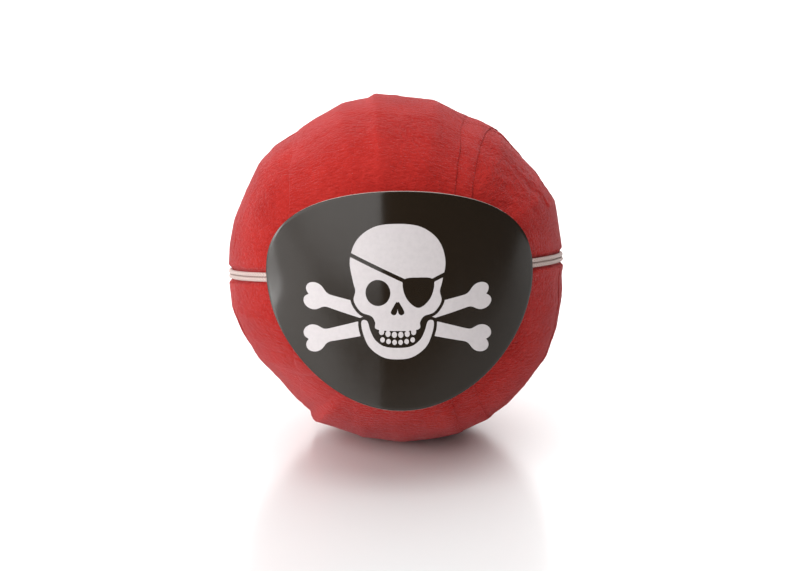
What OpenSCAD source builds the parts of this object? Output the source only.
// A paper surprise ball: crepe strips wound round a core with small favours between them,
// and a toy eye patch held on the outside by a doubled elastic cord.
// Origin: centre of the flat that the ball rests on. +Z is up, and the patch faces -Y.

/* [Ball] */
// Width of the ball at its middle
ball_w = 89.2; // [85:0.2:96]
// Height from pole to pole before the foot is pressed flat
ball_h = 92.2; // [88:0.2:100]
// Diameter of the pressed flat that the ball rests on
foot_d = 14; // [10:1:14]
// Width of a crepe strip
strip_w = 25; // [15:1:30]
// What one outer turn adds to the radius at the middle
turn_side = 0.14; // [0.12:0.01:0.2]
// What one outer turn adds to the radius at the poles, where the turns cross
turn_pole = 0.32; // [0.28:0.01:0.4]
// Diameter of the rubber ball at the core
core_d = 27; // [24:1:28]

/* [Eye patch] */
// Width of the patch laid flat
patch_w = 75.5; // [60:0.5:80]
// Height of the patch laid flat
patch_h = 55.2; // [40:0.2:58]
// How much wider the patch is towards its top
patch_flare = 0.23; // [0:0.01:0.3]
// How far the patch's centre sits to the right of the middle of the ball, along the sheet
patch_shift = 1.4; // [-3:0.1:3]
// How far the patch's centre sits below the ring where it comes nearest the ball
patch_drop = 2.25; // [0:0.05:5]
// Angle by which the patch looks up
patch_rise = 7.5; // [4:0.5:12]
// Thickness of the printed film
face_t = 0.3; // [0.2:0.05:0.5]
// Thickness of the pale backing ply
backing_t = 0.25; // [0.2:0.05:0.5]
// Length of the film tabs that hold the cord's ends
tab_l = 9; // [7:1:12]
// Height of the film tabs
tab_h = 7; // [5:1:10]

/* [Elastic] */
// Diameter of the braided elastic cord
cord_d = 1.2; // [1:0.1:1.4]
// Angle by which the elastic's loop rises towards the front
band_rise = 12; // [8:0.5:15]
// Angle by which the loop rises towards the right
band_roll = 3; // [0:0.5:5]
// Height of the loop's middle above the ball's centre
band_lift = 1; // [0:0.5:2]

/* [Favours] */
// Diameter of a toy coin
coin_d = 22; // [18:1:26]
// Outer diameter of the toy ring
ring_d = 16; // [14:0.5:16]
// Diameter of the toy gem
gem_d = 12; // [10:1:13]
// Diameter of the spinning top
top_d = 14; // [12:1:16]
// Length of the rolled message
scroll_l = 12; // [8:1:12]

/* [Hidden] */
$fn = 96;

// The outer turns, in the order they are wound: azimuth of the turn's plane, its lean away
// from upright, and its shift off the ball's middle. A lean near 90 is a belt round the ball.
TURNS = [
    [20, 80, 0],
    [-35, 74, 2],
    [90, 0, 1],
    [55, 4, -2],
    [-58, -3, 2],
    [-2, -1, -12],
    [-11, -2, 12],
    [-6, 0, 5],
];
TURN_REDS = ["#b8322e", "#c23a35", "#ad2f2b", "#bd3833", "#b5302c", "#c03b36", "#b2332f", "#bf3934"];
turn_count = len(TURNS);
big = 2 * ball_h; // Larger than anything on the ball

// Form k is the ball after its first k outer turns. Each form is two equal spheres, set apart
// along Z, because the turns cross at the poles and pile up there.
function form_r(k) = ball_w / 2 - (turn_count - k) * turn_side;
function form_shift(k) = max(ball_h / 2 - (turn_count - k) * turn_pole - form_r(k), 0);
function form_foot(k) = (turn_count - k) * turn_pole;
ball_z = form_shift(turn_count) + sqrt(pow(form_r(turn_count), 2) - pow(foot_d / 2, 2));

// The wound strips under the outer turns share the space between the core and form 0
wound_count = 5;
wound_t = (form_r(0) - core_d / 2) / wound_count;
function wound_r(i) = core_d / 2 + i * wound_t;

// The elastic lies in a shallow groove. Its two strands touch side by side.
gap = 0.25;
strand_gap = 0.04;
cord_r = cord_d / 2;
strand_z = cord_r + strand_gap / 2;
band_r = ball_w / 2 - 0.15;
groove_r = band_r - cord_r - gap;
groove_half = strand_z + cord_r + gap;

// The patch is bent round an upright cylinder that clears the cord
tab_t = 0.2;
backing_r = band_r + cord_r + 0.35;
face_r = backing_r + backing_t;
patch_points = 80;
patch_side_power = 0.99; // Shapes the patch's left and right flanks
patch_top_power = 1.05; // Shapes its top and bottom

// Angles round the loop, counted from the front towards +X
tab_half = tab_l / 2 / backing_r * 180 / PI;
tab_left = -40;
tab_right = 43.5;
lead_root = 80; // A lead leaves the ball here when the patch is pulled forward
lead_gap = 0.06; // Keeps a lead's end face just clear of the cord that it continues
lead_overlap = 1; // How far a lead's end passes the middle of its tab
cross_end = 42; // The cord crosses from one strand to the other between here and its mirror

// The tail is the loose end of the last turn, on the back of the ball above the elastic
tail_start = 28; // Angle down from the top to the tail's crease
tail_end = 48;
tail_t = 0.3;
tail_gap = 0.3;

// Favours: azimuth and elevation from the ball's centre, and the radius of their middle.
// Each lies in a pocket of its own, and all but the spinning top in one strip's thickness.
pocket_gap = 0.2;
favour_lift = 0.3;
scroll_d = 3.6;
thread_t = 0.4;
scroll_at = [200, 20, wound_r(1) + scroll_d / 2 + thread_t + favour_lift];
ring_w = 3;
stone_d = 4;
ring_at = [-60, 10, wound_r(2) + 1.9];
coin_t = 1.8;
coin_1_at = [40, 55, wound_r(3) + coin_t / 2 + favour_lift];
coin_2_at = [160, -35, wound_r(3) + coin_t / 2 + favour_lift];
gem_h = 4.4;
gem_at = [-110, -40, wound_r(3) + gem_h / 2 + favour_lift];
top_h = 10.4;
top_at = [70, -45, wound_r(3) + top_h / 2 + favour_lift];

module ball_frame() {
    translate([0, 0, ball_z]) children();
}

module band_frame() {
    ball_frame() rotate([-band_rise, -band_roll, 0]) children();
}

module patch_frame() {
    ball_frame() rotate([-patch_rise, 0, 0]) children();
}

// Puts +Z outward along a favour's direction, with the origin at its middle
module favour_frame(at) {
    ball_frame() rotate([0, 90 - at[1], at[0]]) translate([0, 0, at[2]]) children();
}

// A ring round Z between two angles counted from -Y towards +X
module ring_arc(from, to) {
    rotate([0, 0, from - 90]) rotate_extrude(angle = to - from) children();
}

module ball_form(k) {
    extra = (turn_count - k) * turn_side;
    difference() {
        intersection() {
            union() {
                for (side = [-1, 1])
                    translate([0, 0, ball_z + side * form_shift(k)]) sphere(r = form_r(k));
            }
            translate([-big / 2, -big / 2, form_foot(k)]) cube(big);
        }
        band_frame() translate([0, 0, band_lift]) groove(groove_r - extra, groove_half + extra);
    }
}

module groove(r, half) {
    difference() {
        cylinder(r = ball_w, h = 2 * half, center = true);
        cylinder(r = r, h = 2 * half + 1, center = true);
    }
}

module turn_slab(turn) {
    ball_frame() rotate([0, turn[1], turn[0]]) translate([turn[2], 0, 0])
        cube([strip_w, big, big], center = true);
}

module outer_turn(k) {
    color(TURN_REDS[k - 1])
        intersection() {
            difference() {
                ball_form(k);
                ball_form(k - 1);
            }
            turn_slab(TURNS[k - 1]);
        }
}

module core_ball() {
    color("#e8b23a") ball_frame() sphere(d = core_d);
}

module pocket(at, d, h) {
    favour_frame(at) cylinder(d = d + 2 * pocket_gap, h = h + 2 * pocket_gap, center = true);
}

module scroll_pocket() {
    favour_frame(scroll_at) rotate([90, 0, 0])
        cylinder(d = scroll_d + 2 * (thread_t + pocket_gap), h = scroll_l + 2 * pocket_gap, center = true);
}

module ring_pocket() {
    pocket(ring_at, ring_d, ring_w);
    favour_frame(ring_at) translate([ring_d / 2, 0, 0])
        cylinder(d = stone_d + 3 * pocket_gap, h = stone_d + 2 * pocket_gap, center = true);
}

// Wound strip i is one strip wound until it makes a shell
module wound_shell(i) {
    difference() {
        if (i == wound_count)
            ball_form(0);
        else
            ball_frame() sphere(r = wound_r(i));
        ball_frame() sphere(r = wound_r(i - 1));
    }
}

module wound_strip_1() {
    color("#c8403a") wound_shell(1);
}

module wound_strip_2() {
    color("#f2f0ea")
        difference() {
            wound_shell(2);
            scroll_pocket();
        }
}

module wound_strip_3() {
    color("#2c2a2a")
        difference() {
            wound_shell(3);
            ring_pocket();
        }
}

module wound_strip_4() {
    color("#f2f0ea")
        difference() {
            wound_shell(4);
            pocket(coin_1_at, coin_d, coin_t);
            pocket(coin_2_at, coin_d, coin_t);
            pocket(gem_at, gem_d, gem_h);
            pocket(top_at, top_d, top_h);
        }
}

module wound_strip_5() {
    color("#b8322e")
        difference() {
            wound_shell(5);
            pocket(top_at, top_d, top_h);
        }
}

module message_scroll() {
    color("#efe2c0")
        favour_frame(scroll_at) rotate([90, 0, 0])
            difference() {
                cylinder(d = scroll_d, h = scroll_l, center = true);
                cylinder(d = scroll_d - 2, h = scroll_l + 1, center = true);
            }
}

module scroll_thread() {
    color("#a03030")
        favour_frame(scroll_at) rotate([90, 0, 0])
            difference() {
                cylinder(d = scroll_d + 2 * thread_t, h = 1.6, center = true);
                cylinder(d = scroll_d, h = 3, center = true);
            }
}

module ring_band() {
    color("#d8b04a")
        favour_frame(ring_at)
            difference() {
                cylinder(d = ring_d, h = ring_w, center = true);
                cylinder(d = ring_d - 3, h = ring_w + 1, center = true);
                translate([ring_d / 2 - 0.5, -ring_w, -ring_w]) cube(2 * ring_w);
            }
}

module ring_stone() {
    color("#c01840")
        favour_frame(ring_at) translate([ring_d / 2 - 0.5, 0, 0]) rotate([0, 90, 0]) {
            cylinder(d = stone_d, h = 1);
            translate([0, 0, 1]) cylinder(d1 = stone_d, d2 = stone_d / 2, h = 1.4);
        }
}

module coin(at) {
    rim = 1.5;
    relief = 0.3;
    color("#d9a93a")
        favour_frame(at)
            difference() {
                cylinder(d = coin_d, h = coin_t, center = true);
                for (side = [-1, 1])
                    translate([0, 0, side * coin_t / 2])
                        cylinder(d = coin_d - 2 * rim, h = 2 * relief, center = true);
            }
}

module gem() {
    facets = 8;
    color("#2a8a4a")
        favour_frame(gem_at) {
            translate([0, 0, gem_h * 0.1])
                cylinder(d1 = gem_d, d2 = gem_d * 0.6, h = gem_h * 0.4, $fn = facets);
            translate([0, 0, -gem_h / 2])
                cylinder(d1 = gem_d * 0.2, d2 = gem_d, h = gem_h * 0.6, $fn = facets);
        }
}

module spinning_top() {
    stem_r = 1.2;
    color("#3a6fb0")
        favour_frame(top_at) translate([0, 0, -top_h / 2])
            rotate_extrude()
                polygon([
                    [0, 0], [stem_r / 2, 0], [top_d / 2, top_h * 0.35], [top_d / 2, top_h * 0.5],
                    [stem_r, top_h * 0.6], [stem_r, top_h], [0, top_h],
                ]);
}

// The tail lies on the upper sphere of the finished ball, along the last turn
module strip_tail() {
    inner = form_r(turn_count) + tail_gap;
    color("#c23a35")
        translate([0, 0, ball_z + form_shift(turn_count)]) rotate([0, 0, TURNS[turn_count - 1][0]])
            rotate([0, 90, 0]) rotate([0, 0, 180 - tail_end])
                translate([0, 0, TURNS[turn_count - 1][2]])
                    rotate_extrude(angle = tail_end - tail_start) tail_profile(inner);
}

module tail_profile(inner) {
    translate([0, -TURNS[turn_count - 1][2]])
        intersection() {
            difference() {
                circle(r = inner + tail_t);
                circle(r = inner);
            }
            translate([0, TURNS[turn_count - 1][2] - strip_w / 2]) square([ball_w, strip_w]);
        }
}

module strand(from, to, z) {
    translate([0, 0, z]) ring_arc(from, to) translate([band_r, 0]) circle(r = cord_r);
}

// One cord goes round twice: the upper strand round the back, across behind the patch,
// and the lower strand round the back again
module elastic_wrap() {
    slope = asin(strand_z / band_r / sin(cross_end));
    color("#d8d0c4")
        band_frame() translate([0, 0, band_lift]) {
            strand(cross_end, 360 - lead_root, strand_z);
            rotate([0, -slope, 0]) strand(-cross_end, cross_end, 0);
            strand(lead_root, 360 - cross_end, -strand_z);
        }
}

module elastic_lead_left() {
    color("#d8d0c4")
        band_frame() translate([0, 0, band_lift])
            strand(-lead_root + lead_gap, tab_left + lead_overlap, strand_z);
}

module elastic_lead_right() {
    color("#d8d0c4")
        band_frame() translate([0, 0, band_lift])
            strand(tab_right - lead_overlap, lead_root - lead_gap, -strand_z);
}

// The patch's outline as it looks along the direction that the patch faces. Its width is
// measured along the bent sheet, so that each point is brought in by the bend.
function power(base, exponent) = sign(base) * pow(abs(base), exponent);
function sheet_x(a) =
    patch_shift + patch_w / 2 * power(cos(a), patch_side_power) * (1 + patch_flare * sin(a));
function sheet_z(a) = patch_h / 2 * power(sin(a), patch_top_power) - patch_drop;
function bent_x(a) = face_r * sin(sheet_x(a) / face_r * 180 / PI);

module patch_outline() {
    polygon([
        for (i = [0 : patch_points - 1])
            let (a = (i + 0.5) * 360 / patch_points)
            [bent_x(a), sheet_z(a)]
    ]);
}

module patch_ply(r, t) {
    patch_frame()
        intersection() {
            rotate([90, 0, 0]) linear_extrude(height = ball_w) patch_outline();
            difference() {
                cylinder(r = r + t, h = ball_w, center = true);
                cylinder(r = r, h = ball_w + 1, center = true);
            }
        }
}

module patch_face() {
    color("#26221f") patch_ply(face_r, face_t);
}

module patch_backing() {
    color("#cfc8c0") patch_ply(backing_r, backing_t);
}

// A tab follows the cord's height behind the patch
function tab_z(angle) =
    band_lift + band_r * (cos(angle) * sin(band_rise - patch_rise) + sin(angle) * sin(band_roll));

module anchor_tab(angle) {
    color("#3a3532")
        patch_frame() translate([0, 0, tab_z(angle)])
            ring_arc(angle - tab_half, angle + tab_half)
                translate([backing_r - tab_t - 0.02, -tab_h / 2]) square([tab_t, tab_h]);
}

core_ball();
wound_strip_1();
wound_strip_2();
wound_strip_3();
wound_strip_4();
wound_strip_5();
message_scroll();
scroll_thread();
ring_band();
ring_stone();
coin(coin_1_at);  // coin_1
coin(coin_2_at);  // coin_2
gem();
spinning_top();
outer_turn(1);  // outer_turn_1
outer_turn(2);  // outer_turn_2
outer_turn(3);  // outer_turn_3
outer_turn(4);  // outer_turn_4
outer_turn(5);  // outer_turn_5
outer_turn(6);  // outer_turn_6
outer_turn(7);  // outer_turn_7
outer_turn(8);  // outer_turn_8
strip_tail();
elastic_wrap();
elastic_lead_left();
elastic_lead_right();
patch_backing();
patch_face();
anchor_tab(tab_left);  // anchor_tab_left
anchor_tab(tab_right);  // anchor_tab_right
